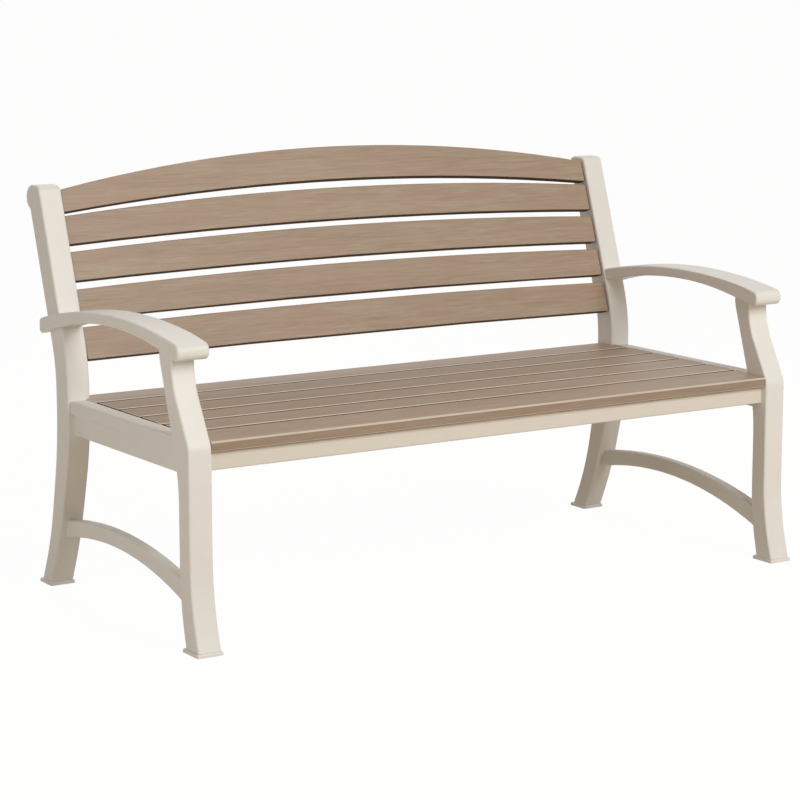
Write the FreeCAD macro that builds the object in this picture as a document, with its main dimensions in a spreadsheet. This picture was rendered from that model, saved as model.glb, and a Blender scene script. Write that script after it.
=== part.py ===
"""Three-seat slatted garden bench with a fixed frame, in millimetres, +Z up.

Two side frames carry a front and a rear apron. Each side frame is a curved front leg, a raked rear post that
ends in a scroll, an armrest, two rails at the seat and an arched stretcher. Six boards make the seat and five
bowed boards make the leaning back.

The origin lies on the floor under the middle of the bench, +X is the sitter's left, and +Y points to the back.
Sketches measure depth from the front edge of the front feet, and each object's Placement moves it to the origin.
"""
import FreeCAD
import Part
import Sketcher

import math
import os
import re

LEFT = -1
RIGHT = 1
SIDES = {"l": LEFT, "r": RIGHT}
SEAT_SLATS = 6
BACK_SLATS = 5

# Driving dimensions: lengths in mm, angles in degrees. A name in _y is a depth behind the front feet's front
# edge, and a name in _z is a height above the floor.
SIZES = {
    "bench_width": 1574,
    "seat_height": 437,
    "frame_easing": 3,
    "board_easing": 2,
    # feet
    "pad_height": 8,
    "pad_side_lip": 3,
    "pad_front_lip": 3,
    "pad_rear_lip": 9,
    "pad_easing": 2.5,
    # front legs
    "leg_width": 54,
    "leg_front_y": 34,
    "leg_thickness": 46.5,
    "leg_foot_length": 55,
    "leg_shin_front_z": 109,
    "leg_shin_rear_z": 103,
    "leg_shin_front_radius": 560,
    "leg_shin_rear_radius": 600,
    "leg_crease_drop": 14,
    "leg_crease_radius": 40,
    "leg_bend_drop": 82.4,
    "leg_bend_radius": 350,
    "leg_head_setback": 68,
    "leg_head_thickness": 54,
    "leg_head_front_drop": 81,
    "leg_head_rear_drop": 37,
    "leg_head_front_radius": 160,
    "leg_head_rear_radius": 80,
    # rear posts
    "post_width": 54,
    "post_inset": 10,
    "post_front_y": 607.5,
    "post_thickness": 60,
    "post_foot_splay": 104.5,
    "post_foot_length": 48,
    "post_shin_front_splay": 57,
    "post_shin_rear_splay": 45.2,
    "post_shin_front_z": 114,
    "post_shin_rear_z": 109,
    "post_shin_front_radius": 900,
    "post_shin_rear_radius": 640,
    "post_knee_front_drop": 102,
    "post_knee_rear_drop": 106,
    "post_knee_front_radius": 600,
    "post_knee_rear_radius": 800,
    "post_bend_rise": 78.4,
    "post_bend_radius": 375,
    "post_corner_radius": 15,
    "post_top_margin": 10,
    "scroll_radius": 28,
    "scroll_inset": 17.9,
    "scroll_notch_radius": 6,
    # armrests
    "arm_overhang": 7,
    "arm_front_y": 61,
    "arm_front_width": 74,
    "arm_rear_reveal": 2,
    "arm_top_rise": 217.5,
    "arm_under_rise": 193,
    "arm_top_apex_y": 340,
    "arm_under_apex_y": 354,
    "arm_top_radius": 1465,
    "arm_under_radius": 1110,
    "arm_nose_radius": 16,
    "ear_reach": 41.5,
    "ear_corner_radius": 9,
    # rails of the side frames
    "end_rail_height": 30,
    "end_rail_drop": 2.5,
    "end_rail_inset": 6,
    "side_apron_height": 46,
    "side_apron_inset": 13,
    "stretcher_width": 24,
    "stretcher_apex_y": 440,
    "stretcher_top_z": 178,
    "stretcher_under_z": 143,
    "stretcher_top_radius": 1250,
    "stretcher_under_radius": 1000,
    # seat
    "front_apron_height": 38,
    "rear_apron_height": 40,
    "apron_thickness": 22,
    "front_apron_setback": 17,
    "rear_apron_setback": 4.5,
    "bearer_spacing": 480,
    "bearer_thickness": 22,
    "cleat_width": 20,
    "cleat_height": 22,
    "slat_end_gap": 1.5,
    "slat_corner_radius": 4,
    "slat_rounding": 4.5,
    "slat_easing": 2,
    "seat_setback": 4.5,
    "seat_slat_width": 94,
    "seat_slat_thickness": 24,
    "seat_slat_gap": 8,
    "front_slat_width": 101,
    "front_slat_tilt": 2.5,
    # back
    "back_lean": 18.5,
    "back_slat_thickness": 22,
    "back_recess": 9,
    "back_start": 87.5,
    "bracket_leg": 20,
    "bracket_length": 34,
    "bracket_height": 30,
    "bracket_thickness": 3,
}

# Back slats from the lowest to the crest: width at the ends, then how far the lower and the upper edge bow
# upwards at the middle, then the gap at the ends below the slat.
BACK_SLAT_SIZES = {
    "width": (73.8, 66.4, 66.4, 65.3, 52.7),
    "low_bow": (5.3, 8.4, 12.7, 18.9, 41.1),
    "high_bow": (9.5, 14.8, 20.1, 29.6, 68.6),
    "gap": (0, 18.0, 17.9, 15.9, 7.4),
}
for quantity, values in BACK_SLAT_SIZES.items():
    for number, amount in enumerate(values, 1):
        if amount:
            SIZES[f"back_slat_{quantity}_{number}"] = amount


def height_on_arc(apex_y, apex_z, radius, depth):
    """The height of an arch at a depth, as a formula."""
    return f"{apex_z} - {radius} + sqrt({radius}^2 - ({depth} - {apex_y})^2)"


def depth_on_rear_line(height):
    """The depth of the rear face of the leaning post at a height, as a formula."""
    return f"post_rear_y + ({height} - post_bend_rear_z) * tan(back_lean)"


# The arches of the armrests: the depth and the height of the highest point, and the radius
ARM_TOP = ("arm_top_apex_y", "arm_top_z", "arm_top_radius")
ARM_UNDERSIDE = ("arm_under_apex_y", "arm_under_z", "arm_under_radius")

# Dimensions that follow from the driving ones
FORMULAS = {
    "half_width": "bench_width / 2",
    "leg_outer_x": "half_width - arm_overhang",
    "leg_inner_x": "leg_outer_x - leg_width",
    "post_outer_x": "leg_outer_x - post_inset",
    "post_inner_x": "post_outer_x - post_width",
    "seat_slat_half_length": "leg_inner_x - slat_end_gap",
    "back_slat_half_length": "post_inner_x - slat_end_gap",
    "seat_under_z": "seat_height - seat_slat_thickness",
    "arm_top_z": "seat_height + arm_top_rise",
    "arm_under_z": "seat_height + arm_under_rise",
    # front leg
    "leg_rear_y": "leg_front_y + leg_thickness",
    "leg_heel_y": "pad_front_lip + leg_foot_length",
    "leg_crease_z": "seat_height - leg_crease_drop",
    "leg_bend_z": "seat_height - leg_bend_drop",
    "leg_head_front_y": "leg_front_y + leg_head_setback",
    "leg_head_rear_y": "leg_head_front_y + leg_head_thickness",
    "leg_head_front_z": "arm_under_z - leg_head_front_drop",
    "leg_head_rear_z": "arm_under_z - leg_head_rear_drop",
    "leg_top_front_z": height_on_arc(*ARM_UNDERSIDE, "leg_head_front_y"),
    "leg_top_rear_z": height_on_arc(*ARM_UNDERSIDE, "leg_head_rear_y"),
    # rear post
    "post_rear_y": "post_front_y + post_thickness",
    "post_toe_y": "post_front_y + post_foot_splay",
    "post_heel_y": "post_toe_y + post_foot_length",
    "post_shin_front_y": "post_front_y + post_shin_front_splay",
    "post_shin_rear_y": "post_rear_y + post_shin_rear_splay",
    "post_knee_front_z": "seat_height - post_knee_front_drop",
    "post_knee_rear_z": "seat_height - post_knee_rear_drop",
    "post_bend_front_z": "seat_height + post_bend_rise",
    "post_bend_rear_z": "post_bend_front_z - post_thickness * tan(back_lean / 2)",
    "post_bend_rear_radius": "post_bend_radius - post_thickness",
}
lowest = "back_start"
for number in range(1, BACK_SLATS + 1):
    FORMULAS[f"back_slat_low_{number}"] = lowest
    FORMULAS[f"back_slat_high_{number}"] = f"back_slat_low_{number} + back_slat_width_{number}"
    lowest = f"back_slat_high_{number} + back_slat_gap_{number + 1}"
FORMULAS |= {
    "post_top_z": f"seat_height + back_slat_high_{BACK_SLATS} * cos(back_lean) + post_top_margin",
    "post_top_front_y": "post_front_y + (post_top_z - post_bend_front_z) * tan(back_lean)",
    "scroll_z": "post_top_z - scroll_radius",
    "scroll_y": depth_on_rear_line("scroll_z") + " - scroll_inset",
    "shoulder_z": "scroll_z - scroll_radius / 2",
    "shoulder_y": depth_on_rear_line("shoulder_z"),
    "bench_depth": "scroll_y + scroll_radius",
    # armrest
    "arm_top_front_z": height_on_arc(*ARM_TOP, "arm_front_y"),
    "arm_under_front_z": height_on_arc(*ARM_UNDERSIDE, "arm_front_y"),
    "arm_nose_rounding": "min(arm_nose_radius, 0.45 * (arm_top_front_z - arm_under_front_z))",
    "ear_end_y": "post_rear_y + ear_reach",
    "arm_top_end_z": height_on_arc(*ARM_TOP, "ear_end_y"),
    "arm_under_end_z": height_on_arc(*ARM_UNDERSIDE, "ear_end_y"),
    "arm_rear_width": "half_width - post_inner_x - arm_rear_reveal",
    "ear_thickness": "half_width - post_outer_x",
    # side rails
    "end_rail_top_z": "seat_height - end_rail_drop",
    "end_rail_under_z": "end_rail_top_z - end_rail_height",
    "side_apron_under_z": "end_rail_under_z - side_apron_height",
    "rail_inner_x": "leg_inner_x",
    "rail_start_y": "leg_front_y + leg_thickness / 2",
    "rail_end_y": "post_front_y + post_thickness / 2",
    "stretcher_x": "post_outer_x - post_width / 2 - stretcher_width / 2",
    "stretcher_start_y": "leg_heel_y",
    "stretcher_end_y": "post_shin_rear_y - post_thickness / 2",
    # seat
    "front_apron_y": "leg_front_y + front_apron_setback",
    "front_apron_rear_y": "front_apron_y + apron_thickness",
    "rear_apron_y": "post_front_y + rear_apron_setback",
    "bearer_length": "rear_apron_y - front_apron_rear_y",
    "seat_front_y": "leg_front_y + seat_setback",
    "seat_slat_pitch": "seat_slat_width + seat_slat_gap",
    "second_slat_y": "seat_front_y + front_slat_width * cos(front_slat_tilt) + seat_slat_gap",
    "front_slat_y": "seat_front_y + seat_slat_thickness * sin(front_slat_tilt)",
    "front_slat_drop": "front_slat_width * sin(front_slat_tilt)",
    "front_slat_z": "seat_height - front_slat_drop - seat_slat_thickness * cos(front_slat_tilt)",
    "front_apron_under_z": "seat_under_z - front_slat_drop - front_apron_height",
    "rear_apron_under_z": "seat_under_z - rear_apron_height",
    "bearer_height": "rear_apron_height",
    "cleat_length": "post_front_y - front_apron_rear_y",
    # where the leaning plane of the back slats' fronts meets the height of the seat
    "back_foot_y": "post_front_y - post_bend_rise * tan(back_lean) + back_recess / cos(back_lean)",
}
for name, height in {
    "stretcher_start_top_z": ("stretcher_top_z", "stretcher_top_radius", "stretcher_start_y"),
    "stretcher_start_under_z": ("stretcher_under_z", "stretcher_under_radius", "stretcher_start_y"),
    "stretcher_end_top_z": ("stretcher_top_z", "stretcher_top_radius", "stretcher_end_y"),
    "stretcher_end_under_z": ("stretcher_under_z", "stretcher_under_radius", "stretcher_end_y"),
}.items():
    FORMULAS[name] = height_on_arc("stretcher_apex_y", *height)

doc = FreeCAD.newDocument("GardenBench")
sheet = doc.addObject("Spreadsheet::Sheet", "Sizes")
for row, (name, content) in enumerate((SIZES | FORMULAS).items(), 1):
    sheet.set(f"A{row}", name)
    sheet.set(f"B{row}", f"={content}" if name in FORMULAS else str(content))
    sheet.setAlias(f"B{row}", name)
doc.recompute()

NODES = []


def bound(formula):
    """A formula of the sheet's names, as another object writes it."""
    known = SIZES | FORMULAS
    return re.sub(r"[a-z]\w*", lambda word: f"Sizes.{word[0]}" if word[0] in known else word[0], formula)


def value(formula):
    """What a formula of the sheet's names comes to."""
    return float(sheet.evalExpression(formula))


def node(thing, name):
    """Names a finished piece and keeps it for the export."""
    thing.Label = name
    NODES.append(thing)
    return thing


def put(thing, **place):
    """Ties the place of an object along x, y and z to the sheet."""
    for axis, formula in place.items():
        thing.setExpression(f".Placement.Base.{axis}", bound(formula))
    return thing


def new_body(name, side_x="0"):
    """A body whose zero depth is the front edge of the front feet."""
    return put(doc.addObject("PartDesign::Body", name), x=side_x, y="-bench_depth / 2")


def plane_of(body, role):
    """One of the body's own origin planes."""
    return next(feature for feature in body.Origin.OriginFeatures if feature.Role == role)


def anticlockwise_arc(start, end, centre, left):
    """An arc from start to end, and the numbers of those ends, since every arc runs anticlockwise."""
    first, last = (start, end) if left else (end, start)
    angles = [math.atan2(point.y - centre.y, point.x - centre.x) for point in (first, last)]
    if angles[1] < angles[0]:
        angles[1] += 2 * math.pi
    circle = Part.Circle(centre, FreeCAD.Vector(0, 0, 1), (start - centre).Length)
    return Part.ArcOfCircle(circle, *angles), (1, 2) if left else (2, 1)


class Outline:
    """A closed sketch through corners given anticlockwise, each fixed by two distances from the sheet."""

    def __init__(self, body, plane, corners, bows=None):
        """A corner is (across, up) or (across, up, rounding). bows gives the radius of the sides that are arcs,
        by the number of the corner they start at: positive where the side turns left, negative where right."""
        self.sketch = body.newObject("Sketcher::SketchObject", "Outline")
        self.sketch.AttachmentSupport = [(plane_of(body, plane), "")]
        self.sketch.MapMode = "FlatFace"
        self.corners = [(*corner, None)[:3] for corner in corners]
        self.points = [FreeCAD.Vector(value(across), value(up), 0) for across, up, _ in self.corners]
        self.bows = bows or {}
        sides = [self.side(number) for number in range(len(corners))]
        for number in range(len(corners)):
            self.corner(number, sides[number - 1], sides[number])

    def direction(self, number):
        """The unit vector along a straight side."""
        start, end = self.points[number], self.points[(number + 1) % len(self.points)]
        return (end - start).normalize()

    def trim(self, number):
        """How much a corner's rounding takes off the sides that meet there."""
        number %= len(self.points)
        rounding = self.corners[number][2]
        if rounding is None:
            return 0
        turn = self.direction(number - 1).getAngle(self.direction(number))
        return value(rounding) * math.tan(turn / 2)

    def side(self, number):
        """Draws one side and gives its number with those of its ends."""
        start, end = self.points[number], self.points[(number + 1) % len(self.points)]
        if number not in self.bows:
            along = self.direction(number)
            line = Part.LineSegment(start + along * self.trim(number), end - along * self.trim(number + 1))
            return self.sketch.addGeometry(line), (1, 2)
        radius, left = self.bows[number]
        half = (end - start) / 2
        towards = FreeCAD.Vector(-half.y, half.x, 0).normalize() * (1 if left else -1)
        reach = math.sqrt(value(radius) ** 2 - half.Length ** 2)
        arc, ends = anticlockwise_arc(start, end, start + half + towards * reach, left)
        geometry = self.sketch.addGeometry(arc)
        self.fix("Radius", geometry, radius)
        return geometry, ends

    def corner(self, number, before, after):
        """Joins two sides at a corner, with an arc there if it is rounded."""
        across, up, rounding = self.corners[number]
        (last, last_ends), (first, first_ends) = before, after
        if rounding is None:
            self.constrain("Coincident", last, last_ends[1], first, first_ends[0])
            self.place(first, first_ends[0], across, up)
            return
        into, out = self.direction(number - 1), self.direction(number)
        left = into.cross(out).z > 0
        start = self.points[number] - into * self.trim(number)
        inwards = FreeCAD.Vector(-into.y, into.x, 0) * (1 if left else -1)
        arc, ends = anticlockwise_arc(
            start, self.points[number] + out * self.trim(number), start + inwards * value(rounding), left
        )
        geometry = self.sketch.addGeometry(arc)
        self.constrain("Tangent", last, last_ends[1], geometry, ends[0])
        self.constrain("Tangent", geometry, ends[1], first, first_ends[0])
        self.fix("Radius", geometry, rounding)
        point = self.sketch.addGeometry(Part.Point(self.points[number]), True)
        self.constrain("PointOnObject", point, 1, last)
        self.constrain("PointOnObject", point, 1, first)
        self.place(point, 1, across, up)

    def constrain(self, kind, *what):
        return self.sketch.addConstraint(Sketcher.Constraint(kind, *what))

    def place(self, geometry, end, across, up):
        self.fix("DistanceX", geometry, across, end)
        self.fix("DistanceY", geometry, up, end)

    def fix(self, kind, geometry, formula, end=None):
        """Ties one distance or radius to the sheet."""
        where = (geometry,) if end is None else (geometry, end)
        number = self.constrain(kind, *where, value(formula))
        self.sketch.setExpression(f"Constraints[{number}]", bound(formula))


def circle_sketch(body, plane, across, up, radius):
    """A sketch of one circle."""
    sketch = body.newObject("Sketcher::SketchObject", "Circle")
    sketch.AttachmentSupport = [(plane_of(body, plane), "")]
    sketch.MapMode = "FlatFace"
    centre = FreeCAD.Vector(value(across), value(up), 0)
    sketch.addGeometry(Part.Circle(centre, FreeCAD.Vector(0, 0, 1), value(radius)))
    for kind, where, formula in (("DistanceX", (0, 3), across), ("DistanceY", (0, 3), up), ("Radius", (0,), radius)):
        number = sketch.addConstraint(Sketcher.Constraint(kind, *where, value(formula)))
        sketch.setExpression(f"Constraints[{number}]", bound(formula))
    return sketch


def pad(body, sketch, length, reverse=False):
    """Extrudes a sketch of the body, along its plane's normal or against it."""
    feature = body.newObject("PartDesign::Pad", "Pad")
    feature.Profile = sketch
    feature.setExpression("Length", bound(length))
    feature.Reversed = reverse
    sketch.Visibility = False
    return feature


def near(one, other):
    return abs(one - other) < 1e-4


def edges_of(thing, keep):
    """The names of a solid's edges whose end points pass a test."""
    doc.recompute()
    edges = enumerate(thing.Shape.Edges, 1)
    return [f"Edge{number}" for number, edge in edges if keep([vertex.Point for vertex in edge.Vertexes])]


def level(points, height):
    return all(near(point.z, height) for point in points)


def round_edges(body, radius, edges):
    """Rounds the named edges of a body's last feature."""
    tip = body.Tip
    feature = body.newObject("PartDesign::Fillet", "Rounding")
    feature.Base = (tip, edges)
    feature.setExpression("Radius", bound(radius))


def chamfer_edges(body, width, edges):
    """Takes the named edges of a body's last feature off at 45 degrees."""
    tip = body.Tip
    feature = body.newObject("PartDesign::Chamfer", "Easing")
    feature.Base = (tip, edges)
    feature.setExpression("Size", bound(width))


def side_face_edges(body, width, skip=lambda points: False):
    """The edges round the two side faces of a body that is cut from a board of this width."""
    def on_side_face(points):
        return any(all(near(abs(point.x), face) for point in points) for face in (0, value(width)))

    return edges_of(body.Tip, lambda points: on_side_face(points) and not skip(points))


def side_body(name, side, outer_x):
    """A body whose zero width is its outer face, on one side of the bench, and whose pads go inwards."""
    return new_body(name, outer_x if side == RIGHT else f"-({outer_x})")


def side_x(side, near_x, width):
    """The lower X of a box that starts at near_x from the middle plane, on one side of the bench."""
    return near_x if side == RIGHT else f"-({near_x} + {width})"


def board(name, across, along, upwards):
    """A board with square edges. Each pair is where it starts and its size, along X, Y and Z."""
    box = doc.addObject("Part::Box", name)
    put(box, x=across[0], y=f"{along[0]} - bench_depth / 2", z=upwards[0])
    for prop, (_, size) in zip(("Length", "Width", "Height"), (across, along, upwards)):
        box.setExpression(prop, bound(size))
    return box


def eased(name, box, width, keep):
    """A board with the edges that pass a test chamfered."""
    edges = [int(edge_name[4:]) for edge_name in edges_of(box, keep)]
    chamfered = doc.addObject("Part::Chamfer", name)
    chamfered.Base = box
    chamfered.Edges = [(edge, value(width), value(width)) for edge in edges]
    return chamfered


def less(name, base, *tools):
    """A piece with other pieces' shapes cut out of it."""
    for number, tool in enumerate(tools, 1):
        cut = doc.addObject("Part::Cut", f"{name}_{number}")
        cut.Base = base
        cut.Tool = tool
        base = cut
    return base


def front_leg(tag, side):
    body = side_body(f"front_leg_{tag}", side, "leg_outer_x")
    outline = Outline(body, "YZ_Plane", [
        ("pad_front_lip", "pad_height"),
        ("leg_heel_y", "pad_height"),
        ("leg_rear_y", "leg_shin_rear_z", "leg_shin_rear_radius"),
        ("leg_rear_y", "leg_bend_z", "leg_bend_radius"),
        ("leg_head_rear_y", "leg_head_rear_z", "leg_head_rear_radius"),
        ("leg_head_rear_y", "leg_top_rear_z"),
        ("leg_head_front_y", "leg_top_front_z"),
        ("leg_head_front_y", "leg_head_front_z", "leg_head_front_radius"),
        ("leg_front_y", "leg_crease_z", "leg_crease_radius"),
        ("leg_front_y", "leg_shin_front_z", "leg_shin_front_radius"),
    ])
    pad(body, outline.sketch, "leg_width", reverse=side == RIGHT)

    def cut_end(points):
        at_top = all(point.z > value("leg_top_front_z") - 1 for point in points)
        return at_top or level(points, value("pad_height"))

    chamfer_edges(body, "frame_easing", side_face_edges(body, "leg_width", skip=cut_end))
    return body, outline.sketch


def rear_post(tag, side):
    """The post leans back above the seat and splays back below it, and its top ends in a scroll."""
    body = side_body(f"rear_post_{tag}", side, "post_outer_x")
    outline = Outline(body, "YZ_Plane", [
        ("post_toe_y", "pad_height"),
        ("post_heel_y", "pad_height"),
        ("post_shin_rear_y", "post_shin_rear_z", "post_shin_rear_radius"),
        ("post_rear_y", "post_knee_rear_z", "post_knee_rear_radius"),
        ("post_rear_y", "post_bend_rear_z", "post_bend_rear_radius"),
        ("shoulder_y", "shoulder_z"),
        ("scroll_y", "post_top_z"),
        ("post_top_front_y", "post_top_z", "post_corner_radius"),
        ("post_front_y", "post_bend_front_z", "post_bend_radius"),
        ("post_front_y", "post_knee_front_z", "post_knee_front_radius"),
        ("post_shin_front_y", "post_shin_front_z", "post_shin_front_radius"),
    ])
    pad(body, outline.sketch, "post_width", reverse=side == RIGHT)
    doc.recompute()
    scroll = circle_sketch(body, "YZ_Plane", "scroll_y", "scroll_z", "scroll_radius")
    pad(body, scroll, "post_width", reverse=side == RIGHT)

    def notch(points):
        crosses = not near(points[0].x, points[-1].x)
        return crosses and value("post_bend_rear_z") + value("scroll_radius") < points[0].z < value("scroll_z")

    round_edges(body, "scroll_notch_radius", edges_of(body.Tip, notch))
    foot = value("pad_height")
    edges = side_face_edges(body, "post_width", skip=lambda points: level(points, foot))
    chamfer_edges(body, "frame_easing", edges)
    return body


def armrest(tag, side, post):
    """The arm butts against the post, and its outer ear laps past the post's outer face."""
    body = side_body(f"armrest_{tag}_blank", side, "half_width")
    outline = Outline(body, "YZ_Plane", [
        ("arm_front_y", "arm_under_front_z"),
        ("ear_end_y", "arm_under_end_z"),
        ("ear_end_y", "arm_top_end_z"),
        ("arm_front_y", "arm_top_front_z"),
    ], bows={0: ("arm_under_radius", False), 2: ("arm_top_radius", True)})
    pad(body, outline.sketch, "arm_front_width", reverse=side == RIGHT)

    def square_end(depth):
        def crosses(points):
            at_end = all(near(point.y, value(depth)) for point in points)
            return at_end and not near(points[0].x, points[-1].x)
        return edges_of(body.Tip, crosses)

    round_edges(body, "arm_nose_rounding", square_end("arm_front_y"))
    round_edges(body, "ear_corner_radius", square_end("ear_end_y"))

    # seen from above, the inner edge tapers towards the post, and only the ear goes on past it
    waste = [
        ("arm_front_width", "arm_front_y - arm_nose_radius"),
        ("arm_front_width + post_width", "arm_front_y - arm_nose_radius"),
        ("arm_front_width + post_width", "ear_end_y + post_width"),
        ("ear_thickness", "ear_end_y + post_width"),
        ("ear_thickness", "post_rear_y"),
        ("arm_rear_width", "post_rear_y"),
    ]
    if side == RIGHT:
        waste = [(f"-({across})", along) for across, along in reversed(waste)]
    taper = Outline(body, "XY_Plane", waste)
    doc.recompute()
    pocket = body.newObject("PartDesign::Pocket", "Taper")
    pocket.Profile = taper.sketch
    pocket.Type = "ThroughAll"
    pocket.Midplane = True
    taper.sketch.Visibility = False

    def long_edge(points):
        outer = all(near(point.x, 0) for point in points)
        inner = all(abs(point.x) > value("arm_rear_width") - 0.01 for point in points)
        return outer or (inner and not near(points[0].y, points[-1].y))

    chamfer_edges(body, "frame_easing", edges_of(body.Tip, long_edge))
    doc.recompute()
    return less(f"armrest_{tag}", body, post)


def side_rails(tag, side, leg_sketch, post):
    """Two boards at the seat, one above the other, coped to the leg and the post."""
    leg_sweep = doc.addObject("Part::Extrusion", f"leg_sweep_{tag}")
    leg_sweep.Base = leg_sketch
    leg_sweep.DirMode = "Custom"
    leg_sweep.Dir = FreeCAD.Vector(-side, 0, 0)
    leg_sweep.Solid = True
    leg_sweep.setExpression("LengthFwd", bound("leg_width + post_width"))
    put(leg_sweep, x="leg_outer_x" if side == RIGHT else "-leg_outer_x", y="-bench_depth / 2")
    for name, inset, low, high in (
        ("seat_end_rail", "end_rail_inset", "end_rail_under_z", "end_rail_top_z"),
        ("seat_side_apron", "side_apron_inset", "side_apron_under_z", "end_rail_under_z"),
    ):
        width = f"post_outer_x - {inset} - rail_inner_x"
        blank = board(
            f"{name}_{tag}_board",
            (side_x(side, "rail_inner_x", width), width),
            ("rail_start_y", "rail_end_y - rail_start_y"),
            (low, f"{high} - {low}"),
        )
        outer = value(f"post_outer_x - {inset}")

        def outer_long(points):
            return all(near(abs(point.x), outer) for point in points) and near(points[0].z, points[-1].z)

        rounded = eased(f"{name}_{tag}_eased", blank, "board_easing", outer_long)
        node(less(f"{name}_{tag}", rounded, leg_sweep, post), f"{name}_{tag}")


def stretcher(tag, side, leg, post):
    """The low arched rail between the front leg and the post."""
    body = side_body(f"arched_stretcher_{tag}_blank", side, "stretcher_x + stretcher_width")
    outline = Outline(body, "YZ_Plane", [
        ("stretcher_start_y", "stretcher_start_under_z"),
        ("stretcher_end_y", "stretcher_end_under_z"),
        ("stretcher_end_y", "stretcher_end_top_z"),
        ("stretcher_start_y", "stretcher_start_top_z"),
    ], bows={0: ("stretcher_under_radius", False), 2: ("stretcher_top_radius", True)})
    pad(body, outline.sketch, "stretcher_width", reverse=side == RIGHT)

    def end_cut(points):
        return near(points[0].y, points[-1].y)

    edges = side_face_edges(body, "stretcher_width", skip=end_cut)
    chamfer_edges(body, "frame_easing", edges)
    doc.recompute()
    return less(f"arched_stretcher_{tag}", body, leg, post)


def foot_pad(name, side, inner_x, width, toe, heel):
    """A pad under a foot, wider than it all round."""
    wide = f"({width} + 2 * pad_side_lip)"
    box = board(
        f"{name}_board",
        (side_x(side, f"({inner_x} - pad_side_lip)", wide), wide),
        (f"{toe} - pad_front_lip", f"{heel} - ({toe}) + pad_front_lip + pad_rear_lip"),
        ("0", "pad_height"),
    )
    return node(eased(name, box, "pad_easing", lambda points: not level(points, 0)), name)


def tilt_forwards(thing):
    """Sets an object on the underside of the front seat slat, which tilts down to the front."""
    thing.Placement = FreeCAD.Placement(FreeCAD.Vector(), FreeCAD.Rotation(FreeCAD.Vector(1, 0, 0), 1))
    thing.setExpression(".Placement.Rotation.Angle", bound("front_slat_tilt"))
    return put(thing, y="front_slat_y - bench_depth / 2", z="front_slat_z")


def seat_slat(number):
    """A board with rounded long edges. The first one tilts down to the front, and the last is notched."""
    body = new_body(f"seat_slat_{number}_board")
    if number == 1:
        tilt_forwards(body)
        width = "front_slat_width"
    else:
        put(body, y=f"second_slat_y + {number - 2} * seat_slat_pitch - bench_depth / 2", z="seat_under_z")
        width = "seat_slat_width"
    outline = Outline(body, "XY_Plane", [
        ("-seat_slat_half_length", "0"),
        ("seat_slat_half_length", "0"),
        ("seat_slat_half_length", width),
        ("-seat_slat_half_length", width),
    ])
    pad(body, outline.sketch, "seat_slat_thickness")
    length = 2 * value("seat_slat_half_length")
    round_edges(body, "slat_rounding", edges_of(
        body.Tip, lambda points: near(abs(points[0].x - points[-1].x), length)
    ))
    doc.recompute()
    if number < SEAT_SLATS:
        return node(body, f"seat_slat_{number}")
    notches = [
        board(
            f"seat_slat_notch_{tag}",
            (side_x(side, "(post_inner_x - slat_end_gap)", "post_width"), "post_width"),
            ("post_front_y - slat_end_gap", "post_thickness"),
            ("seat_under_z - slat_end_gap", "2 * seat_slat_thickness"),
        )
        for tag, side in SIDES.items()
    ]
    return node(less(f"seat_slat_{number}", body, *notches), f"seat_slat_{number}")


def lean(thing):
    """Sets an object on the leaning plane of the back slats' fronts, at the height of the seat."""
    thing.Placement = FreeCAD.Placement(FreeCAD.Vector(), FreeCAD.Rotation(FreeCAD.Vector(-1, 0, 0), 1))
    thing.setExpression(".Placement.Rotation.Angle", bound("back_lean"))
    return put(thing, y="back_foot_y - bench_depth / 2", z="seat_height")


def back_slat(number):
    """A board whose two long edges bow upwards, more so towards the crest."""
    body = lean(doc.addObject("PartDesign::Body", f"back_slat_{number}"))
    low = f"back_slat_low_{number}"
    high = f"back_slat_high_{number}"
    radii = [
        f"(back_slat_half_length^2 + {bow}^2) / (2 * {bow})"
        for bow in (f"back_slat_low_bow_{number}", f"back_slat_high_bow_{number}")
    ]
    outline = Outline(body, "XZ_Plane", [
        ("-back_slat_half_length", low),
        ("back_slat_half_length", low),
        ("back_slat_half_length", high),
        ("-back_slat_half_length", high),
    ], bows={0: (radii[0], False), 2: (radii[1], True)})
    pad(body, outline.sketch, "back_slat_thickness", reverse=True)
    corners = edges_of(body.Tip, lambda points: not near(points[0].y, points[-1].y))
    round_edges(body, "slat_corner_radius", corners)
    front = edges_of(body.Tip, lambda points: all(near(point.y, 0) for point in points))
    chamfer_edges(body, "slat_easing", front)
    return node(body, f"back_slat_{number}")


def back_brackets(tag, side):
    """Metal angles behind the back slats, each between a slat's rear face and the post's inner face."""
    plates = []
    for number in range(1, BACK_SLATS + 1):
        middle = f"(back_slat_low_{number} + back_slat_high_{number}) / 2"
        for part, width, depth in (("flap", "bracket_length", "bracket_thickness"),
                                   ("wing", "bracket_thickness", "bracket_leg")):
            box = doc.addObject("Part::Box", f"bracket_{part}_{tag}_{number}")
            put(box, x=side_x(side, f"(post_inner_x - {width})", width), y="back_slat_thickness",
                z=f"{middle} - bracket_height / 2")
            for prop, size in (("Length", width), ("Width", depth), ("Height", "bracket_height")):
                box.setExpression(prop, bound(size))
            plates.append(box)
    fused = doc.addObject("Part::MultiFuse", f"back_brackets_{tag}")
    fused.Shapes = plates
    fused.Refine = True
    return node(lean(fused), f"back_brackets_{tag}")


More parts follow.
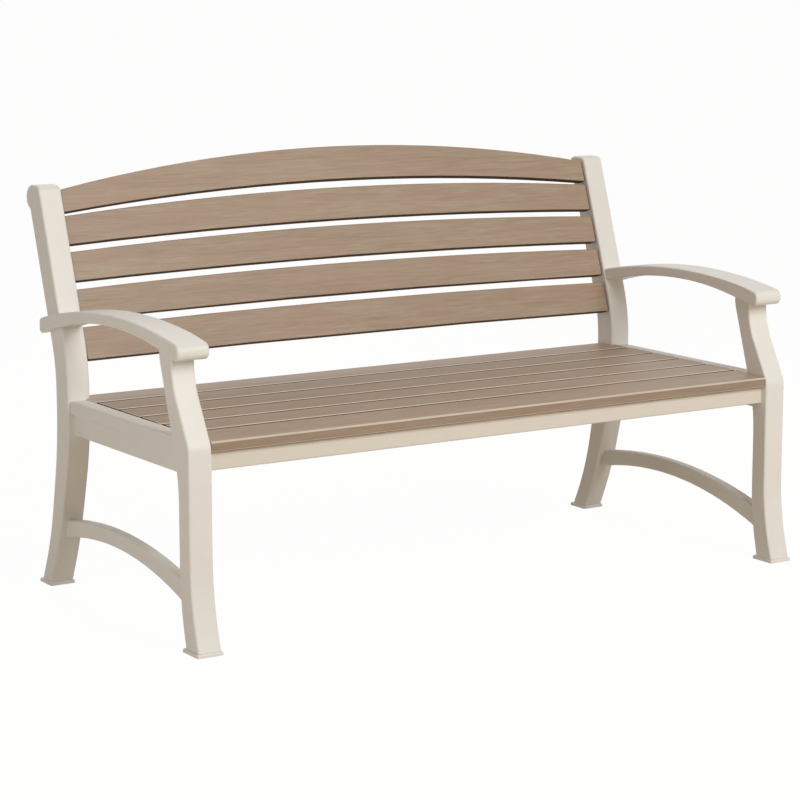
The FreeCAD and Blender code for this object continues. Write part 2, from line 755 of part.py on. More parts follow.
def side_frame(tag, side):
    leg, leg_sketch = front_leg(tag, side)
    post = rear_post(tag, side)
    doc.recompute()
    node(leg, f"front_leg_{tag}")
    node(post, f"rear_post_{tag}")
    node(armrest(tag, side, post), f"armrest_{tag}")
    side_rails(tag, side, leg_sketch, post)
    node(stretcher(tag, side, leg, post), f"arched_stretcher_{tag}")
    foot_pad(f"foot_pad_front_{tag}", side, "leg_inner_x", "leg_width", "pad_front_lip", "leg_heel_y")
    foot_pad(f"foot_pad_rear_{tag}", side, "post_inner_x", "post_width", "post_toe_y", "post_heel_y")


def seat_carcass():
    """What the seat slats lie on: two aprons, two bearers and a cleat at each end."""
    top = "seat_under_z"
    # what lies under the front slat is cut to its slope
    slope = tilt_forwards(doc.addObject("Part::Box", "front_slat_space"))
    put(slope, x="-half_width")
    for prop, size in (
        ("Length", "bench_width"), ("Width", "front_slat_width"), ("Height", "seat_slat_thickness")
    ):
        slope.setExpression(prop, bound(size))
    for name, inner_x, start, low in (
        ("front_apron", "leg_inner_x", "front_apron_y", "front_apron_under_z"),
        ("rear_apron", "post_inner_x", "rear_apron_y", "rear_apron_under_z"),
    ):
        blank = board(f"{name}_board", (f"-{inner_x}", f"2 * {inner_x}"), (start, "apron_thickness"),
                      (low, f"{top} - {low}"))
        bottom = value(low)
        long = eased(f"{name}_eased", blank, "board_easing",
                     lambda points: level(points, bottom) and not near(points[0].x, points[-1].x))
        node(less(name, long, slope) if name == "front_apron" else long, name)
    for tag, side in SIDES.items():
        bearer_x = side_x(side, "(bearer_spacing / 2 - bearer_thickness / 2)", "bearer_thickness")
        bearer = board(f"seat_bearer_{tag}_board", (bearer_x, "bearer_thickness"),
                       ("front_apron_rear_y", "bearer_length"), (f"{top} - bearer_height", "bearer_height"))
        node(less(f"seat_bearer_{tag}", bearer, slope), f"seat_bearer_{tag}")
        cleat_x = side_x(side, "(rail_inner_x - cleat_width)", "cleat_width")
        cleat = board(f"seat_cleat_{tag}_board", (cleat_x, "cleat_width"),
                      ("front_apron_rear_y", "cleat_length"), (f"{top} - cleat_height", "cleat_height"))
        node(less(f"seat_cleat_{tag}", cleat, slope), f"seat_cleat_{tag}")


def check_and_export():
    """Stops at the first object that failed, then writes each piece to a file of its own."""
    doc.recompute()
    for thing in doc.Objects:
        if {"Invalid", "Error"} & set(thing.State):
            raise RuntimeError(f"{thing.Name} did not recompute: {thing.State}")
    for thing in NODES:
        if thing.Shape.isNull() or not thing.Shape.isValid():
            raise RuntimeError(f"{thing.Label} has no valid shape")
    os.makedirs("parts", exist_ok=True)
    for thing in NODES:
        thing.Shape.exportStep(f"parts/{thing.Label}.step")


for side_tag, side_sign in SIDES.items():
    side_frame(side_tag, side_sign)
seat_carcass()
for slat_number in range(1, SEAT_SLATS + 1):
    seat_slat(slat_number)
for slat_number in range(1, BACK_SLATS + 1):
    back_slat(slat_number)
for side_tag, side_sign in SIDES.items():
    back_brackets(side_tag, side_sign)
check_and_export()
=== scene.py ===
"""Dresses the garden bench: moulded cream frame, grained taupe slats, steel fittings and a pale studio.

Laid out as an add-on and run as a script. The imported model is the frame, and every size is in metres.
"""

import math
from functools import cache

import bpy
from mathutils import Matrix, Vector


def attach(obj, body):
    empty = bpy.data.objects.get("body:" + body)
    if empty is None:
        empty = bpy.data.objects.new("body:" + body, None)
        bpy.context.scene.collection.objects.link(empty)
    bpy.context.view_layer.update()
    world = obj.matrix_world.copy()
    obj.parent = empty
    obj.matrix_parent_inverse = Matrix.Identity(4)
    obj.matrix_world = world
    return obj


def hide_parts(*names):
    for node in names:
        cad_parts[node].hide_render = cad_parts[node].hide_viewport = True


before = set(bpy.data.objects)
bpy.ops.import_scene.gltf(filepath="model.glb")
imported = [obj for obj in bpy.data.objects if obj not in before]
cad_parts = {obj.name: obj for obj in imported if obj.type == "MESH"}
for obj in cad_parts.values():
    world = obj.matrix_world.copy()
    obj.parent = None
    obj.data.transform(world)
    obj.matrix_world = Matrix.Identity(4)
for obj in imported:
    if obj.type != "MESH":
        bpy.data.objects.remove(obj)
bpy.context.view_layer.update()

bl_info = {
    "name": "Garden Bench Finish",
    "version": (1, 0, 0),
    "blender": (4, 5, 0),
    "location": "3D View > Sidebar > Garden Bench",
    "description": "Finishes the boards, the frame and the fittings of a slatted garden bench",
    "category": "Object",
}

MM = 0.001

SIDES = ("l", "r")
FRAME_MOULDINGS = [
    f"{part}_{side}"
    for part in (
        "rear_post", "front_leg", "armrest", "seat_end_rail", "seat_side_apron", "arched_stretcher",
    )
    for side in SIDES
]
SEAT_RAILS = [
    "front_apron", "rear_apron", "seat_bearer_l", "seat_bearer_r", "seat_cleat_l", "seat_cleat_r",
]
FRONT_SLAT = "seat_slat_1"
SEAT_SLATS = [f"seat_slat_{number}" for number in range(2, 7)]
BACK_SLATS = [f"back_slat_{number}" for number in range(1, 6)]
FOOT_PADS = [f"foot_pad_{end}_{side}" for end in ("front", "rear") for side in SIDES]
BRACKETS = [f"back_brackets_{side}" for side in SIDES]

# How the copies of the CAD nodes are welded, rounded and smoothed.
WELD_DISTANCE = 0.01 * MM
FLAT_WITHIN = math.radians(0.4)
ROUNDED_BEYOND = math.radians(30)
SMOOTH_WITHIN = math.radians(32)
ROUNDING_SEGMENTS = 2

# The attribute that says where a slat's faces take painted highlight and painted shade, and how the
# faces are told apart by their normals.
EDGE_SHADE = "edge_shade"
BROAD_COSINE = 0.999
REARWARD = 0.2
UPWARD_MARGIN = 0.01
DOWNWARD = -0.5

# The frame's and the slats' polymer. Down a slat's edge, as parts of its depth: where the painted highlight
# on the arris starts, and over how much it gives way to the painted shade on the narrow face. A face in full
# painted shade is rougher by the last value.
POLYMER_IOR = 1.49
ARRIS_START = 0.04
ARRIS_FADE = 0.1
SLAT_ROUGHNESS = 0.5
EDGE_ROUGHER = 0.45

# The studio: the floor's width in metres and how strongly it glows to the eye, each lamp's place, the point
# that it looks at and its width, and the camera's sensor in millimetres.
FLOOR_WIDTH = 400
FLOOR_GLOW = 1.025
FLOOR_GLOW_SHARE = 0.95
LAMPS = {
    "Key": ((0.7, -4.6, 3.2), (0, 0, 0.4), 2.6),
    "Fill": ((-2.3, -0.6, 0.9), (-0.7, 0, 0.5), 1.4),
    "Back": ((0.5, 2.2, 3.4), (0, -0.1, 0.4), 2.2),
}
SENSOR_WIDTH = 36


class BenchColours(bpy.types.PropertyGroup):
    """Colours of the bench, as sRGB hex values."""

    frame_cream: bpy.props.StringProperty(
        name="Frame", description="Cream of the moulded frame", default="#F0EEE9",
    )
    frame_shade: bpy.props.StringProperty(
        name="Frame shade", description="Slightly duller cream of the frame's clouding", default="#EAE7E0",
    )
    # Painted shade: a darker cream for the rails under the slats, for the shade that the slats cast on them.
    apron_shaded_cream: bpy.props.StringProperty(
        name="Apron", description="Cream of the rails under the slats, darkened as painted shade", default="#E2DBCF",
    )
    slat_taupe: bpy.props.StringProperty(
        name="Slats", description="Middle tone of the slats", default="#A7937D",
    )
    slat_dark: bpy.props.StringProperty(
        name="Grain", description="Dark tone of the slats' grain", default="#957F6B",
    )
    slat_light: bpy.props.StringProperty(
        name="Grain highlight", description="Light tone of the slats' grain", default="#B6A590",
    )
    slat_blush: bpy.props.StringProperty(
        name="Slat blush", description="Redder tone that clouds the slats", default="#AB8B77",
    )
    # Painted highlight: a light colour laid along the seat slats' rounded arrises, where lamps would catch
    # them.
    slat_painted_highlight: bpy.props.StringProperty(
        name="Slat arrises", description="Painted highlight along the seat slats' rounded arrises", default="#F0E7DA",
    )
    # Painted shade: a dark brown laid on the slats' narrow faces in the gaps and under the back slats.
    slat_painted_shade: bpy.props.StringProperty(
        name="Slat edges", description="Painted shade on the slats' narrow faces, in the gaps and underneath",
        default="#46301E",
    )
    steel: bpy.props.StringProperty(
        name="Fittings", description="Brushed stainless steel", default="#C4C2BD",
    )
    floor: bpy.props.StringProperty(
        name="Floor", description="Pale studio floor", default="#DCCFBB",
    )
    sky: bpy.props.StringProperty(
        name="Sky", description="Warm tint of the studio's even light", default="#FFF1E0",
    )


class BenchSizes(bpy.types.PropertyGroup):
    """Sizes of the finish."""

    frame_bevel: bpy.props.FloatProperty(
        name="Frame edge", description="Width of the rounding that softens the frame's edges",
        default=1.3 * MM, unit="LENGTH",
    )
    board_bevel: bpy.props.FloatProperty(
        name="Board edge", description="Width of the rounding that softens the boards' edges",
        default=0.8 * MM, unit="LENGTH",
    )
    bracket_bevel: bpy.props.FloatProperty(
        name="Bracket edge", description="Width of the rounding that softens the angles' edges",
        default=0.4 * MM, unit="LENGTH",
    )
    edge_depth: bpy.props.FloatProperty(
        name="Edge depth", description="Depth below a slat's face at which its edge is at its darkest",
        default=4.5 * MM, unit="LENGTH",
    )
    grain_width: bpy.props.FloatProperty(
        name="Grain width", description="Spacing of the embossed grain lines across a slat",
        default=3.4 * MM, unit="LENGTH",
    )
    grain_length: bpy.props.FloatProperty(
        name="Grain length", description="Length of the embossed grain lines along a slat",
        default=80 * MM, unit="LENGTH",
    )
    screw_head: bpy.props.FloatProperty(
        name="Screw head", description="Diameter of the fittings' screw heads",
        default=8 * MM, unit="LENGTH",
    )
    screw_height: bpy.props.FloatProperty(
        name="Screw height", description="Height of the fittings' screw heads",
        default=2.6 * MM, unit="LENGTH",
    )
    bracket_sheet: bpy.props.FloatProperty(
        name="Bracket sheet", description="Thickness of the angles' sheet",
        default=3 * MM, unit="LENGTH",
    )
    bracket_apart: bpy.props.FloatProperty(
        name="Bracket step", description="A step in height that parts one angle from the next",
        default=32 * MM, unit="LENGTH",
    )
    back_lean: bpy.props.FloatProperty(
        name="Back lean", description="Lean of the back behind the upright",
        default=math.radians(18.5), subtype="ANGLE", unit="ROTATION",
    )


class BenchStudio(bpy.types.PropertyGroup):
    """Place of the camera and strength of the lights."""

    camera_place: bpy.props.FloatVectorProperty(
        name="Camera", description="Place of the camera",
        default=(-3.1312, -4.8004, 1.4026), subtype="TRANSLATION", unit="LENGTH",
    )
    camera_azimuth: bpy.props.FloatProperty(
        name="Azimuth", description="Turn of the view from the bench's depth axis",
        default=math.radians(32.746), subtype="ANGLE", unit="ROTATION",
    )
    camera_elevation: bpy.props.FloatProperty(
        name="Elevation", description="Tilt of the view below the horizon",
        default=math.radians(9.964), subtype="ANGLE", unit="ROTATION",
    )
    lens: bpy.props.FloatProperty(
        name="Lens", description="Focal length on a 36 mm sensor", default=115.22, min=10,
    )
    key_power: bpy.props.FloatProperty(
        name="Key", description="Power of the key light", default=166.0, unit="POWER",
    )
    fill_power: bpy.props.FloatProperty(
        name="Fill", description="Power of the fill light", default=6.0, unit="POWER",
    )
    back_power: bpy.props.FloatProperty(
        name="Back", description="Power of the lamp behind and above", default=28.0, unit="POWER",
    )
    sky: bpy.props.FloatProperty(
        name="Sky", description="Strength of the even light from all sides", default=0.25, min=0,
    )


def colours():
    """The colours that the sidebar's user sets."""
    return bpy.context.scene.bench_colours


def sizes():
    """The sizes that the sidebar's user sets."""
    return bpy.context.scene.bench_sizes


def studio():
    """The camera and lights that the sidebar's user sets."""
    return bpy.context.scene.bench_studio


def linear(hex_colour):
    """The linear RGBA of an sRGB hex value."""
    channels = [int(hex_colour[i:i + 2], 16) / 255 for i in (1, 3, 5)]
    return tuple(c / 12.92 if c <= 0.04045 else ((c + 0.055) / 1.055) ** 2.4 for c in channels) + (1.0,)


def add(tree, kind, links=(), values=(), **settings):
    """Adds a node, sets its properties or named sockets, and fills more of its inputs.

    Links are pairs of an input and the output that feeds it, and values are pairs of an input and its
    value. In both an input goes by its name or its number.
    """
    node = tree.nodes.new(kind)
    for name, setting in settings.items():
        if hasattr(node, name):
            setattr(node, name, setting)
        else:
            node.inputs[name.replace("_", " ")].default_value = setting
    for socket, setting in values:
        node.inputs[socket].default_value = setting
    for socket, output in links:
        tree.links.new(output, node.inputs[socket])
    return node


def new_material(name, **shader):
    """A material with its Principled shader's own sockets set."""
    material = bpy.data.materials.new(name)
    material.use_nodes = True
    surface = material.node_tree.nodes["Principled BSDF"]
    for socket, setting in shader.items():
        surface.inputs[socket.replace("_", " ")].default_value = setting
    return material, material.node_tree, surface


def stretched(tree, place, spacing, **noise):
    """Noise with a spacing of its own along each axis, as the lines of a grain or of brushing have."""
    along = add(
        tree, "ShaderNodeMapping", links=[("Vector", place)], Scale=tuple(1 / size for size in spacing),
    )
    lines = add(tree, "ShaderNodeTexNoise", links=[("Vector", along.outputs["Vector"])], Scale=1.0, **noise)
    return lines.outputs["Fac"]


def satin_polymer(name, light, shade):
    """Solid polymer with a fine satin grain, clouded from one tone to another.

    It is smooth and slightly waxy to the eye, with broad soft highlights and hardly any change of tone.
    """
    material, tree, surface = new_material(name, Roughness=0.46, IOR=POLYMER_IOR)
    place = add(tree, "ShaderNodeTexCoord").outputs["Object"]
    # Clouding of the melt.
    cloud_size = 90 * MM
    cloud = add(tree, "ShaderNodeTexNoise", links=[("Vector", place)], Scale=1 / cloud_size, Detail=3.0)
    ramp = add(tree, "ShaderNodeValToRGB", links=[("Fac", cloud.outputs["Fac"])])
    ramp.color_ramp.elements[0].color = linear(shade)
    ramp.color_ramp.elements[1].color = linear(light)
    tree.links.new(ramp.outputs["Color"], surface.inputs["Base Color"])
    # The spark-eroded grain is about 0.3 mm and is drawn coarser, so that it shows.
    grain_size, grain_height = 0.9 * MM, 0.05 * MM
    grain = add(tree, "ShaderNodeTexNoise", links=[("Vector", place)], Scale=1 / grain_size, Detail=2.0)
    bump = add(
        tree, "ShaderNodeBump", links=[("Height", grain.outputs["Fac"])],
        Strength=0.12, Distance=grain_height,
    )
    tree.links.new(bump.outputs["Normal"], surface.inputs["Normal"])
    return material


@cache
def moulded_cream():
    """The cream that the posts, legs, arms and rails show: clean, light and satin."""
    return satin_polymer("Moulded satin polymer, cream", colours().frame_cream, colours().frame_shade)


@cache
def painted_shade_cream():
    """The rails under the slats: the same polymer, its cream darkened as painted shade from the slats above.
    """
    return satin_polymer("Satin polymer, cream in painted shade", colours().apron_shaded_cream, colours().apron_shaded_cream)


def grained(name, arris_share, arris_end, edge_share):
    """Taupe polymer board, extruded and brushed with a wood grain along its length.

    Fine lines run the length of the board, under longer and softer streaks and a slow change of tone. Over
    the rounding a painted highlight lies on the arris as far as arris_end, and the narrow face below it takes
    painted shade and is matt. The shares say how strongly.
    """
    material, tree, surface = new_material(name, Roughness=SLAT_ROUGHNESS, IOR=POLYMER_IOR)
    place = add(tree, "ShaderNodeTexCoord").outputs["Object"]

    def lines(length, width, **noise):
        return stretched(tree, place, (length, width, width), Roughness=0.6, **noise)

    fine = lines(sizes().grain_length, sizes().grain_width, Detail=6.0, Distortion=0.4)
    streak = lines(200 * MM, 11 * MM, Detail=3.0, Distortion=0.6)
    tone = lines(700 * MM, 60 * MM, Detail=1.0)
    fine_share, streak_share, tone_share = 0.6, 0.3, 0.2
    tones = add(tree, "ShaderNodeMath", operation="MULTIPLY", links=[(0, tone)], values=[(1, tone_share)])
    with_streaks = add(
        tree, "ShaderNodeMath", operation="MULTIPLY_ADD",
        links=[(0, streak), (2, tones.outputs[0])], values=[(1, streak_share)],
    )
    grain = add(
        tree, "ShaderNodeMath", operation="MULTIPLY_ADD",
        links=[(0, fine), (2, with_streaks.outputs[0])], values=[(1, fine_share)],
    )
    # Noise gathers round its middle, and this span of it is spread over the three tones.
    spread = add(
        tree, "ShaderNodeMapRange", links=[("Value", grain.outputs[0])], From_Min=0.36, From_Max=0.74,
    )
    ramp = add(tree, "ShaderNodeValToRGB", links=[("Fac", spread.outputs["Result"])])
    ramp.color_ramp.elements[0].color = linear(colours().slat_dark)
    ramp.color_ramp.elements[1].color = linear(colours().slat_light)
    ramp.color_ramp.elements.new(0.5).color = linear(colours().slat_taupe)
    # The pigment clouds redder in patches about as long as a hand.
    patches = add(
        tree, "ShaderNodeMapRange", links=[("Value", lines(110 * MM, 20 * MM, Detail=3.0, Distortion=0.8))],
        From_Min=0.42, From_Max=0.66, To_Max=0.55,
    )
    clouded = add(
        tree, "ShaderNodeMix", data_type="RGBA",
        links=[(0, patches.outputs["Result"]), (6, ramp.outputs["Color"])],
        values=[(7, linear(colours().slat_blush))],
    )
    # From a board's broad face down over its rounding: painted highlight on the arris, and then painted shade
    # on the narrow face. The ramp's alpha says how far its colour covers the board's own.
    depth = add(tree, "ShaderNodeAttribute", attribute_name=EDGE_SHADE)
    edge = add(tree, "ShaderNodeValToRGB", links=[("Fac", depth.outputs["Fac"])])
    # arris holds the painted highlight's colour, and narrow holds the painted shade's.
    arris, narrow = linear(colours().slat_painted_highlight), linear(colours().slat_painted_shade)
    stops = edge.color_ramp.elements
    stops[0].color = (*arris[:3], 0.0)
    stops[1].color = (*narrow[:3], edge_share)
    narrow_start = arris_end + ARRIS_FADE
    for stop, tone_there, share in (
        (ARRIS_START, arris, arris_share),
        (arris_end, arris, arris_share),
        (narrow_start, narrow, edge_share),
    ):
        stops.new(stop).color = (*tone_there[:3], share)
    shaded = add(
        tree, "ShaderNodeMix", data_type="RGBA",
        links=[(0, edge.outputs["Alpha"]), (6, clouded.outputs[2]), (7, edge.outputs["Color"])],
    )
    tree.links.new(shaded.outputs[2], surface.inputs["Base Color"])
    rough = add(
        tree, "ShaderNodeMapRange", links=[("Value", depth.outputs["Fac"])],
        From_Min=arris_end, From_Max=narrow_start,
        To_Min=SLAT_ROUGHNESS, To_Max=SLAT_ROUGHNESS + EDGE_ROUGHER * edge_share,
    )
    tree.links.new(rough.outputs["Result"], surface.inputs["Roughness"])
    grain_height = 0.25 * MM
    bump = add(tree, "ShaderNodeBump", links=[("Height", fine)], Strength=0.35, Distance=grain_height)
    tree.links.new(bump.outputs["Normal"], surface.inputs["Normal"])
    return material


@cache
def front_taupe():
    """The front slat, whose narrow face stands in the light: broad painted highlight, faint painted shade."""
    return grained(
        "Brushed polymer board, front of the seat", arris_share=0.5, arris_end=0.8, edge_share=0.16,
    )


@cache
def seat_taupe():
    """Other seat slats: fine brushed grain, a painted highlight on each arris, painted shade in each gap."""
    return grained("Brushed polymer board, seat", arris_share=0.85, arris_end=0.22, edge_share=0.97)


@cache
def back_taupe():
    """The back's slats: fine brushed grain, with deep brown painted shade on the edges underneath."""
    return grained("Brushed polymer board, back", arris_share=0.0, arris_end=0.05, edge_share=0.95)


@cache
def brushed_steel():
    """Stainless steel sheet, brushed along the angle: fine lines that stretch its highlights."""
    material, tree, surface = new_material(
        "Brushed stainless steel", Metallic=1.0, Base_Color=linear(colours().steel), Roughness=0.34,
    )
    place = add(tree, "ShaderNodeTexCoord").outputs["Object"]
    # Brushing lines of 0.1 mm are drawn coarser, so that they show.
    line_width, line_length = 0.5 * MM, 40 * MM
    lines = stretched(tree, place, (line_width, line_width, line_length), Detail=2.0)
    rough = add(tree, "ShaderNodeMapRange", links=[("Value", lines)], To_Min=0.26, To_Max=0.44)
    tree.links.new(rough.outputs["Result"], surface.inputs["Roughness"])
    return material


def select_only(piece):
    """Selects one piece and nothing else."""
    bpy.ops.object.select_all(action="DESELECT")
    piece.select_set(True)
    bpy.context.view_layer.objects.active = piece


def apply_modifiers(piece):
    """Turns a piece's modifiers into mesh, in their order."""
    select_only(piece)
    for modifier in list(piece.modifiers):
        bpy.ops.object.modifier_apply(modifier=modifier.name)


def add_rounding(piece, width, segments, beyond):
    """Adds a bevel of the edges that turn by more than an angle."""
    rounding = piece.modifiers.new("Rounding", "BEVEL")
    rounding.width = width
    rounding.segments = segments
    rounding.limit_method = "ANGLE"
    rounding.angle_limit = beyond


def dressed(node, material, edge):
    """A copy of a CAD node with welded corners and rounded edges, which stands for the node."""
    piece = bpy.data.objects.new(f"finished_{node}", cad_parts[node].data.copy())
    bpy.context.scene.collection.objects.link(piece)
    piece.data.materials.clear()
    piece.data.materials.append(material)
    select_only(piece)
    bpy.ops.object.mode_set(mode="EDIT")
    bpy.ops.mesh.select_all(action="SELECT")
    bpy.ops.mesh.remove_doubles(threshold=WELD_DISTANCE)
    bpy.ops.mesh.dissolve_limited(angle_limit=FLAT_WITHIN)
    bpy.ops.object.mode_set(mode="OBJECT")
    add_rounding(piece, edge, ROUNDING_SEGMENTS, beyond=ROUNDED_BEYOND)
    apply_modifiers(piece)
    bpy.ops.object.shade_smooth_by_angle(angle=SMOOTH_WITHIN)
    weight = piece.modifiers.new("Weighted", "WEIGHTED_NORMAL")
    weight.keep_sharp = True
    apply_modifiers(piece)
    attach(piece, "root")
    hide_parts(node)
    return piece


def shade_narrow_faces(piece):
    """Stores how far each corner of a face lies below its board's broad faces, for the material to darken.

    The broad faces stay plain, and so do the edges that look to the rear or look up more than they do. The
    material lays a painted highlight and then painted shade down the rest, and the edges that look down take
    its fullest painted shade.
    """
    mesh = piece.data
    broad = max(mesh.polygons, key=lambda face: face.area)
    depths = [abs((point.co - broad.center).dot(broad.normal)) for point in mesh.vertices]
    thickness = max(depths)
    shade = mesh.attributes.new(EDGE_SHADE, "FLOAT", "CORNER")
    for face in mesh.polygons:
        is_broad = abs(face.normal.dot(broad.normal)) > BROAD_COSINE
        looks_up = face.normal.z > abs(broad.normal.z) + UPWARD_MARGIN
        if is_broad or looks_up or face.normal.y > REARWARD:
            continue
        for corner in face.loop_indices:
            depth = depths[mesh.loops[corner].vertex_index]
            share = min(1.0, min(depth, thickness - depth) / sizes().edge_depth)
            # Faces that look down, under the back slats, take the fullest painted shade.
            shade.data[corner].value = 1.0 if face.normal.z < DOWNWARD else share


class BENCH_OT_frame(bpy.types.Operator):
    """Finish the moulded frame: posts, legs, arms, rails, aprons and stretchers"""

    bl_idname = "bench.frame"
    bl_label = "Finish the frame"

    def execute(self, context):
        for node in FRAME_MOULDINGS:
            dressed(node, moulded_cream(), sizes().frame_bevel)
        return {"FINISHED"}


class BENCH_OT_slats(bpy.types.Operator):
    """Finish the slats of the seat and the back"""

    bl_idname = "bench.slats"
    bl_label = "Finish the slats"

    def execute(self, context):
        for nodes, taupe in (
            ([FRONT_SLAT], front_taupe), (SEAT_SLATS, seat_taupe), (BACK_SLATS, back_taupe),
        ):
            for node in nodes:
                shade_narrow_faces(dressed(node, taupe(), sizes().board_bevel))
        return {"FINISHED"}


class BENCH_OT_foot_pads(bpy.types.Operator):
    """Finish the foot pads"""

    bl_idname = "bench.foot_pads"
    bl_label = "Finish the foot pads"

    def execute(self, context):
        for node in FOOT_PADS:
            dressed(node, moulded_cream(), sizes().frame_bevel)
        return {"FINISHED"}


class BENCH_OT_seat_rails(bpy.types.Operator):
    """Finish the rails under the seat"""

    bl_idname = "bench.seat_rails"
    bl_label = "Finish the rails under the seat"

    def execute(self, context):
        for node in SEAT_RAILS:
            # The rails under the seat take the cream that is darkened as painted shade.
            dressed(node, painted_shade_cream(), sizes().frame_bevel)
        return {"FINISHED"}


class BENCH_OT_brackets(bpy.types.Operator):
    """Finish the metal angles that hold the back slats"""

    bl_idname = "bench.brackets"
    bl_label = "Finish the brackets"

    def execute(self, context):
        for node in BRACKETS:
            dressed(node, brushed_steel(), sizes().bracket_bevel)
        return {"FINISHED"}


def socket_screw():
    """A pan head with a hexagonal socket, modelled once: it stands on the origin and looks along Z."""
    diameter, height = sizes().screw_head, sizes().screw_height
    sunk = 0.2 * MM
    socket_radius, socket_middle, edge = diameter * 0.28, height * 0.9, height * 0.28
    bpy.ops.object.select_all(action="DESELECT")
    bpy.ops.mesh.primitive_cylinder_add(
        vertices=32, radius=diameter / 2, depth=height, location=(0, 0, height / 2 - sunk),
    )
    head = bpy.context.object
    bpy.ops.mesh.primitive_cylinder_add(
        vertices=6, radius=socket_radius, depth=height, location=(0, 0, socket_middle),
    )
    hexagon = bpy.context.object
    socket = head.modifiers.new("Socket", "BOOLEAN")
    socket.operation = "DIFFERENCE"
    socket.object = hexagon
    add_rounding(head, edge, segments=3, beyond=math.radians(70))
    apply_modifiers(head)
    bpy.data.objects.remove(hexagon, do_unlink=True)
    bpy.ops.object.transform_apply(location=True, rotation=True, scale=True)
    return head


def copied(head, place, axis):
    """A copy of the screw's head, with its own mesh, which stands on a place and looks along an axis."""
    copy = bpy.data.objects.new(head.name, head.data.copy())
    bpy.context.scene.collection.objects.link(copy)
    copy.location = place
    copy.rotation_euler = axis.to_track_quat("Z", "Y").to_euler()
    return copy


def bracket_screws(side, head):
    """Two screws in each of a side's angles: one into the slat, and one into the post."""
    lean, sheet = sizes().back_lean, sizes().bracket_sheet
    rear = Vector((0, math.cos(lean), -math.sin(lean)))
    up = Vector((0, math.sin(lean), math.cos(lean)))
    points = [point.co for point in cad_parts[f"back_brackets_{side}"].data.vertices]
    outward = 1 if points[0].x > 0 else -1
    inner, outer = min(abs(point.x) for point in points), max(abs(point.x) for point in points)
    front, back = min(point.dot(rear) for point in points), max(point.dot(rear) for point in points)
    # A step in height wider than an angle's own steps begins the next angle.
    heights = sorted(point.dot(up) for point in points)
    steps = [i for i in range(1, len(heights)) if heights[i] - heights[i - 1] > sizes().bracket_apart]
    ends = [0, *steps, len(heights)]
    heads = []
    for first, after in zip(ends, ends[1:]):
        middle = up * (heights[first] + heights[after - 1]) / 2
        on_flap = Vector((outward * (inner + outer - sheet) / 2, 0, 0)) + rear * (front + sheet) + middle
        on_wing = Vector((outward * (outer - sheet), 0, 0)) + rear * (front + sheet + back) / 2 + middle
        heads.append(copied(head, on_flap, rear))
        heads.append(copied(head, on_wing, Vector((-outward, 0, 0))))
    select_only(heads[0])
    for other in heads[1:]:
        other.select_set(True)
    bpy.ops.object.join()
    screws = bpy.context.object
    screws.name = f"bracket_screws_{side}"
    bpy.ops.object.transform_apply(location=True, rotation=True, scale=True)
    bpy.ops.object.shade_smooth_by_angle(angle=SMOOTH_WITHIN)
    screws.data.materials.clear()
    screws.data.materials.append(brushed_steel())
    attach(screws, "root")


class BENCH_OT_screws(bpy.types.Operator):
    """Model the screws that hold the brackets"""

    bl_idname = "bench.screws"
    bl_label = "Model the brackets' screws"

    def execute(self, context):
        head = socket_screw()
        for side in SIDES:
            bracket_screws(side, head)
        bpy.data.objects.remove(head, do_unlink=True)
        return {"FINISHED"}


def seen_directly(tree):
    """One where a ray comes from the camera, a mirror or through glass."""
    path = add(tree, "ShaderNodeLightPath")
    first = add(
        tree, "ShaderNodeMath", operation="MAXIMUM",
        links=[(0, path.outputs["Is Camera Ray"]), (1, path.outputs["Is Glossy Ray"])],
    )
    return add(
        tree, "ShaderNodeMath", operation="MAXIMUM",
        links=[(0, first.outputs[0]), (1, path.outputs["Is Transmission Ray"])],
    ).outputs[0]


def studio_paint():
    """Matt painted floor, bright to the eye, which keeps a faint shadow."""
    material, tree, surface = new_material(
        "Matt studio paint, white", Base_Color=linear(colours().floor), Roughness=0.9, Specular_IOR_Level=0.0,
    )
    glow = add(tree, "ShaderNodeEmission", Strength=FLOOR_GLOW)
    share = add(
        tree, "ShaderNodeMath", operation="MULTIPLY",
        links=[(0, seen_directly(tree))], values=[(1, FLOOR_GLOW_SHARE)],
    )
    both = add(
        tree, "ShaderNodeMixShader",
        links=[(0, share.outputs[0]), (1, surface.outputs[0]), (2, glow.outputs[0])],
    )
    tree.links.new(both.outputs[0], tree.nodes["Material Output"].inputs["Surface"])
    return material


def lay_floor():
    """The pale floor, wide enough to reach the horizon."""
    bpy.ops.object.select_all(action="DESELECT")
    bpy.ops.mesh.primitive_plane_add(size=FLOOR_WIDTH, location=(0, 0, 0))
    floor = bpy.context.object
    floor.name = "studio_floor"
    floor.data.materials.append(studio_paint())


def even_light(scene):
    """Warm and even light from all sides, behind which the background looks white."""
    world = bpy.data.worlds.new("Pale studio")
    scene.world = world
    world.use_nodes = True
    tree = world.node_tree
    even = tree.nodes["Background"]
    even.inputs["Color"].default_value = linear(colours().sky)
    even.inputs["Strength"].default_value = studio().sky
    white = add(tree, "ShaderNodeBackground", Color=(1.0, 1.0, 1.0, 1.0), Strength=1.0)
    both = add(
        tree, "ShaderNodeMixShader",
        links=[(0, seen_directly(tree)), (1, even.outputs[0]), (2, white.outputs[0])],
    )
    tree.links.new(both.outputs[0], tree.nodes["World Output"].inputs["Surface"])


def hang_lamp(scene, name, power, place, target, width):
    """A square soft lamp that looks at a point."""
    data = bpy.data.lights.new(name, "AREA")
    data.shape = "SQUARE"
    data.size = width
    data.energy = power
    light = bpy.data.objects.new(name, data)
    scene.collection.objects.link(light)
    light.location = place
    light.rotation_euler = (Vector(target) - Vector(place)).to_track_quat("-Z", "Y").to_euler()


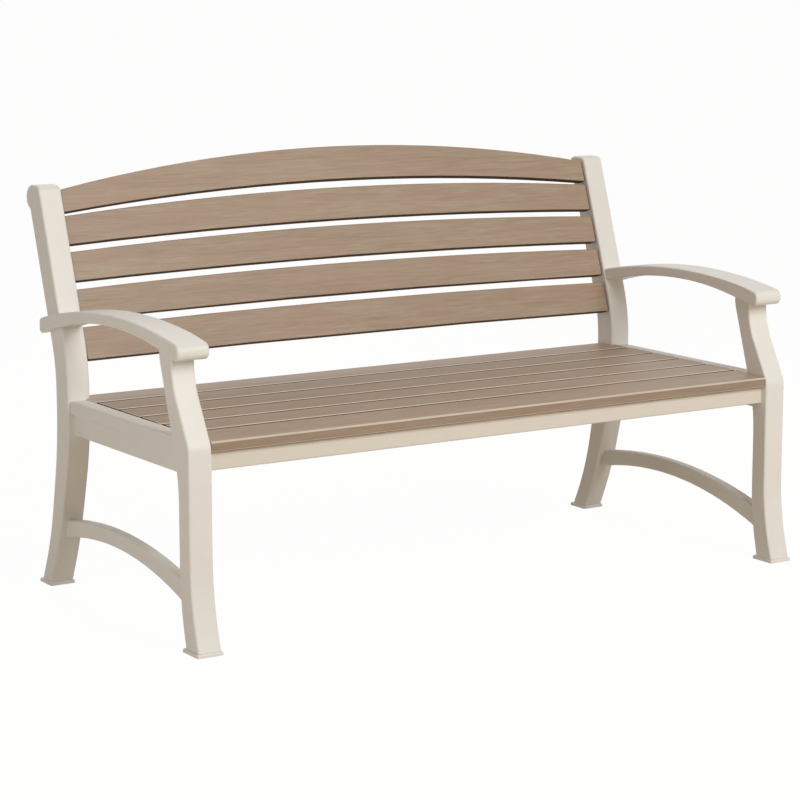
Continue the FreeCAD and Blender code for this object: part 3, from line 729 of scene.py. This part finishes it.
def set_camera(scene):
    """The camera at the photograph's viewing angle."""
    data = bpy.data.cameras.new("Photograph")
    camera = bpy.data.objects.new("Photograph", data)
    scene.collection.objects.link(camera)
    camera.location = studio().camera_place
    azimuth, elevation = studio().camera_azimuth, studio().camera_elevation
    forward = Vector((
        math.sin(azimuth) * math.cos(elevation),
        math.cos(azimuth) * math.cos(elevation),
        -math.sin(elevation),
    ))
    camera.rotation_euler = forward.to_track_quat("-Z", "Y").to_euler()
    data.sensor_width = SENSOR_WIDTH
    data.lens = studio().lens
    scene.camera = camera


class BENCH_OT_stage(bpy.types.Operator):
    """Set the camera, the lights and the floor"""

    bl_idname = "bench.stage"
    bl_label = "Set the stage"

    def execute(self, context):
        scene = context.scene
        scene.view_settings.view_transform = "Standard"
        lay_floor()
        even_light(scene)
        powers = {"Key": studio().key_power, "Fill": studio().fill_power, "Back": studio().back_power}
        for name, (place, target, width) in LAMPS.items():
            hang_lamp(scene, name, powers[name], place, target, width)
        set_camera(scene)
        return {"FINISHED"}


class BENCH_PT_sidebar(bpy.types.Panel):
    """Lists the steps of the bench's finish"""

    bl_idname = "BENCH_PT_sidebar"
    bl_label = "Garden Bench"
    bl_space_type = "VIEW_3D"
    bl_region_type = "UI"
    bl_category = "Garden Bench"

    def draw(self, context):
        for operator in OPERATORS:
            self.layout.operator(operator.bl_idname)


OPERATORS = (
    BENCH_OT_frame,
    BENCH_OT_slats,
    BENCH_OT_foot_pads,
    BENCH_OT_seat_rails,
    BENCH_OT_brackets,
    BENCH_OT_screws,
    BENCH_OT_stage,
)
GROUPS = {"bench_colours": BenchColours, "bench_sizes": BenchSizes, "bench_studio": BenchStudio}


def register():
    for cls in (*GROUPS.values(), *OPERATORS, BENCH_PT_sidebar):
        bpy.utils.register_class(cls)
    for name, group in GROUPS.items():
        setattr(bpy.types.Scene, name, bpy.props.PointerProperty(type=group))


def unregister():
    for name in GROUPS:
        delattr(bpy.types.Scene, name)
    for cls in reversed((*GROUPS.values(), *OPERATORS, BENCH_PT_sidebar)):
        bpy.utils.unregister_class(cls)


def main():
    """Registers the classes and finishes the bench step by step."""
    register()
    for operator in OPERATORS:
        group, action = operator.bl_idname.split(".")
        getattr(getattr(bpy.ops, group), action)()


if __name__ == "__main__":
    main()
